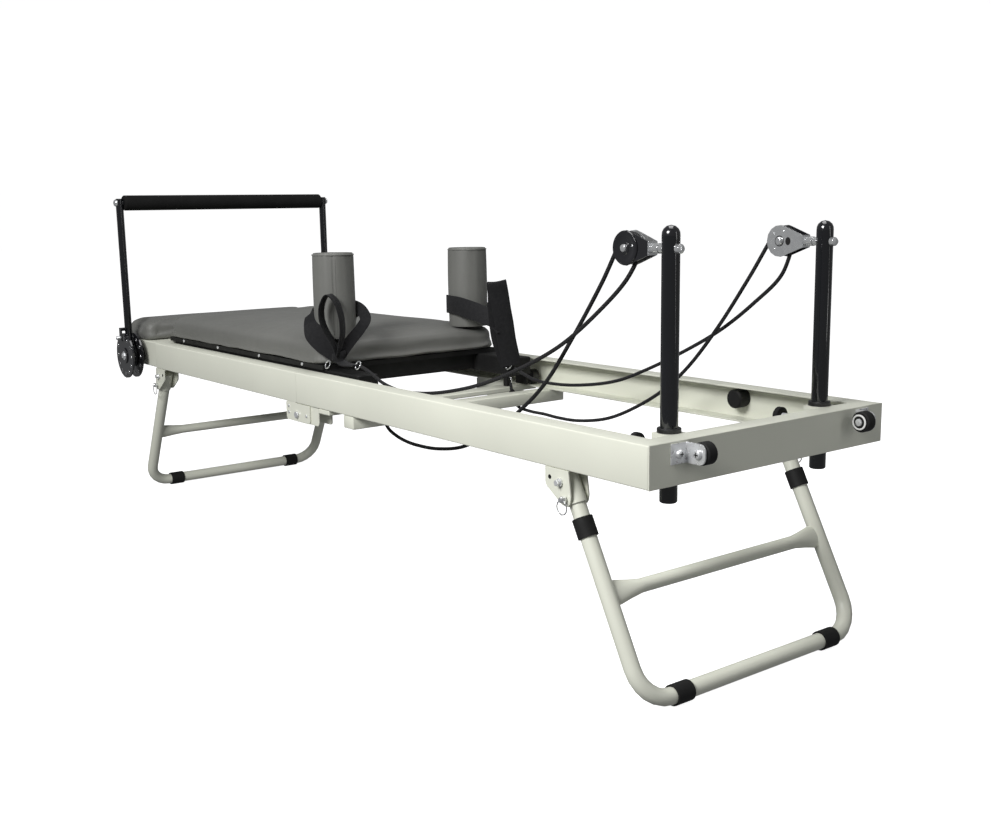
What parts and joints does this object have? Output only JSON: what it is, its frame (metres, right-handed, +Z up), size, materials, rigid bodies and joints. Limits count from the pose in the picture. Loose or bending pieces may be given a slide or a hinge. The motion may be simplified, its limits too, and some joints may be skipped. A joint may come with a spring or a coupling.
{
  "type": "pilates reformer",
  "caption": "Folding-leg pilates reformer: padded carriage on rollers, ropes over post pulleys to hand straps, swinging foot bar, shoulder rests and transport wheels.",
  "frame": {"origin": "On the floor at the middle of the footprint, under the centre of the bounding box.", "axes": "+X along the rails towards the pulley end, +Y towards the far rail, +Z up."},
  "size_m": [2.43, 0.783, 0.934],
  "materials": {
    "cream_enamel": "satin cream powder coat",
    "black_chrome": "glossy black chrome plate",
    "chrome": "bright chrome plate",
    "zinc": "bright zinc plate",
    "spring_steel": "plated spring wire",
    "grey_vinyl": "matt grey upholstery vinyl over foam",
    "rubber": "matt black rubber",
    "foam": "black cellular foam",
    "black_plastic": "black moulded nylon",
    "gloss_plastic": "glossy black moulding",
    "black_board": "black painted board and arms",
    "webbing": "black woven webbing",
    "rope": "black braided rope"
  },
  "bodies": {
    "frame": {"rail_near_head": "cream_enamel", "rail_near_foot": "cream_enamel", "rail_far_head": "cream_enamel", "rail_far_foot": "cream_enamel", "end_beam_head": "cream_enamel", "foot_box": "cream_enamel", "crossbar_flat": "cream_enamel", "crossbar_box": "cream_enamel", "platform_pad": "grey_vinyl", "spring_1": "spring_steel", "spring_2": "spring_steel", "spring_3": "spring_steel", "roller_stop_near": "rubber", "bumper_near": "rubber", "leg_bracket_head_near": "cream_enamel", "leg_bracket_foot_near": "cream_enamel", "post_near": "black_chrome", "wheel_bracket_near": "zinc", "adjuster_near": "gloss_plastic", "rope_near": "rope", "roller_stop_far": "rubber", "bumper_far": "rubber", "leg_bracket_head_far": "cream_enamel", "leg_bracket_foot_far": "cream_enamel", "post_far": "black_chrome", "wheel_bracket_far": "zinc", "adjuster_far": "gloss_plastic", "rope_far": "rope"},
    "carriage": {"carriage_frame": "black_board", "carriage_pad": "grey_vinyl", "shoulder_rest_near": "grey_vinyl", "shoulder_rest_far": "grey_vinyl", "strap_near": "webbing", "strap_far": "webbing"},
    "head_leg": {"leg_head": "cream_enamel", "foot_band_head_near": "rubber", "foot_band_head_far": "rubber", "leg_band_near": "rubber", "leg_band_far": "rubber"},
    "foot_leg": {"leg_foot": "cream_enamel", "foot_band_foot_near": "rubber", "foot_band_foot_far": "rubber"},
    "foot_bar_assembly": {"foot_bar": "black_chrome", "foot_bar_grip": "foam"},
    "leg_pin_head_near_body": {"leg_pin_head_near": "zinc"},
    "leg_pin_foot_near_body": {"leg_pin_foot_near": "zinc"},
    "bar_pin_near_body": {"bar_pin_near": "chrome"},
    "pulley_near_body": {"pulley_frame_near": "chrome"},
    "pulley_wheel_near_body": {"pulley_wheel_near": "black_plastic"},
    "transport_wheel_near_body": {"transport_wheel_near": "rubber"},
    "roller_head_near_body": {"roller_head_near": "black_plastic"},
    "roller_foot_near_body": {"roller_foot_near": "black_plastic"},
    "leg_pin_head_far_body": {"leg_pin_head_far": "zinc"},
    "leg_pin_foot_far_body": {"leg_pin_foot_far": "zinc"},
    "bar_pin_far_body": {"bar_pin_far": "chrome"},
    "pulley_far_body": {"pulley_frame_far": "chrome"},
    "pulley_wheel_far_body": {"pulley_wheel_far": "black_plastic"},
    "transport_wheel_far_body": {"transport_wheel_far": "rubber"},
    "roller_head_far_body": {"roller_head_far": "black_plastic"},
    "roller_foot_far_body": {"roller_foot_far": "black_plastic"}
  },
  "joints": [
    {"name": "carriage_slide", "type": "slide", "parent": "frame", "child": "carriage", "axis": [1, 0, 0], "range_m": [0, 0.66], "stiffness_N_per_m": 450, "springref_m": -0.03, "deforming": ["spring_1", "spring_2", "spring_3", "rope_near", "rope_far"]},
    {"name": "head_leg_fold", "type": "hinge", "parent": "frame", "child": "head_leg", "pos_m": [0.94, 0, 0.388], "axis": [0, 1, 0], "range_deg": [0, 117]},
    {"name": "foot_leg_fold", "type": "hinge", "parent": "frame", "child": "foot_leg", "pos_m": [-0.94, 0, 0.388], "axis": [0, -1, 0], "range_deg": [0, 117]},
    {"name": "foot_bar_swing", "type": "hinge", "parent": "frame", "child": "foot_bar_assembly", "pos_m": [-1.085, 0, 0.443], "axis": [0, 1, 0], "range_deg": [-90, 60]},
    {"name": "leg_pin_head_near_pull", "type": "slide", "parent": "frame", "child": "leg_pin_head_near_body", "axis": [0, -1, 0], "range_m": [0, 0.008], "stiffness_N_per_m": 300, "springref_m": -0.002},
    {"name": "leg_pin_foot_near_pull", "type": "slide", "parent": "frame", "child": "leg_pin_foot_near_body", "axis": [0, -1, 0], "range_m": [0, 0.008], "stiffness_N_per_m": 300, "springref_m": -0.002},
    {"name": "bar_pin_near_pull", "type": "slide", "parent": "foot_bar_assembly", "child": "bar_pin_near_body", "axis": [0, -1, 0], "range_m": [0, 0.01], "stiffness_N_per_m": 300, "springref_m": -0.002},
    {"name": "pulley_near_swivel", "type": "hinge", "parent": "frame", "child": "pulley_near_body", "pos_m": [1.0755, -0.208, 0.804], "axis": [1, 0, 0], "range_deg": [-30, 30]},
    {"name": "pulley_near_spin", "type": "hinge", "parent": "pulley_near_body", "child": "pulley_wheel_near_body", "pos_m": [1.002, -0.208, 0.804], "axis": [0, 1, 0], "continuous": true},
    {"name": "transport_wheel_near_spin", "type": "hinge", "parent": "frame", "child": "transport_wheel_near_body", "pos_m": [1.195, -0.219, 0.467], "axis": [0, 1, 0], "continuous": true},
    {"name": "roller_head_near_spin", "type": "hinge", "parent": "carriage", "child": "roller_head_near_body", "pos_m": [0.11, -0.2935, 0.4353], "axis": [0, 1, 0], "continuous": true},
    {"name": "roller_foot_near_spin", "type": "hinge", "parent": "carriage", "child": "roller_foot_near_body", "pos_m": [-0.855, -0.2935, 0.4353], "axis": [0, 1, 0], "continuous": true},
    {"name": "leg_pin_head_far_pull", "type": "slide", "parent": "frame", "child": "leg_pin_head_far_body", "axis": [0, 1, 0], "range_m": [0, 0.008], "stiffness_N_per_m": 300, "springref_m": -0.002},
    {"name": "leg_pin_foot_far_pull", "type": "slide", "parent": "frame", "child": "leg_pin_foot_far_body", "axis": [0, 1, 0], "range_m": [0, 0.008], "stiffness_N_per_m": 300, "springref_m": -0.002},
    {"name": "bar_pin_far_pull", "type": "slide", "parent": "foot_bar_assembly", "child": "bar_pin_far_body", "axis": [0, 1, 0], "range_m": [0, 0.01], "stiffness_N_per_m": 300, "springref_m": -0.002},
    {"name": "pulley_far_swivel", "type": "hinge", "parent": "frame", "child": "pulley_far_body", "pos_m": [1.0755, 0.208, 0.804], "axis": [1, 0, 0], "range_deg": [-30, 30]},
    {"name": "pulley_far_spin", "type": "hinge", "parent": "pulley_far_body", "child": "pulley_wheel_far_body", "pos_m": [1.002, 0.208, 0.804], "axis": [0, 1, 0], "continuous": true},
    {"name": "transport_wheel_far_spin", "type": "hinge", "parent": "frame", "child": "transport_wheel_far_body", "pos_m": [1.195, 0.219, 0.467], "axis": [0, 1, 0], "continuous": true},
    {"name": "roller_head_far_spin", "type": "hinge", "parent": "carriage", "child": "roller_head_far_body", "pos_m": [0.11, 0.2935, 0.4353], "axis": [0, 1, 0], "continuous": true},
    {"name": "roller_foot_far_spin", "type": "hinge", "parent": "carriage", "child": "roller_foot_far_body", "pos_m": [-0.855, 0.2935, 0.4353], "axis": [0, 1, 0], "continuous": true}
  ],
  "couplings": [
    {"joint": "roller_head_near_spin", "follows": "carriage_slide", "rad_per_m": 50},
    {"joint": "roller_foot_near_spin", "follows": "carriage_slide", "rad_per_m": 50},
    {"joint": "roller_head_far_spin", "follows": "carriage_slide", "rad_per_m": 50},
    {"joint": "roller_foot_far_spin", "follows": "carriage_slide", "rad_per_m": 50}
  ]
}
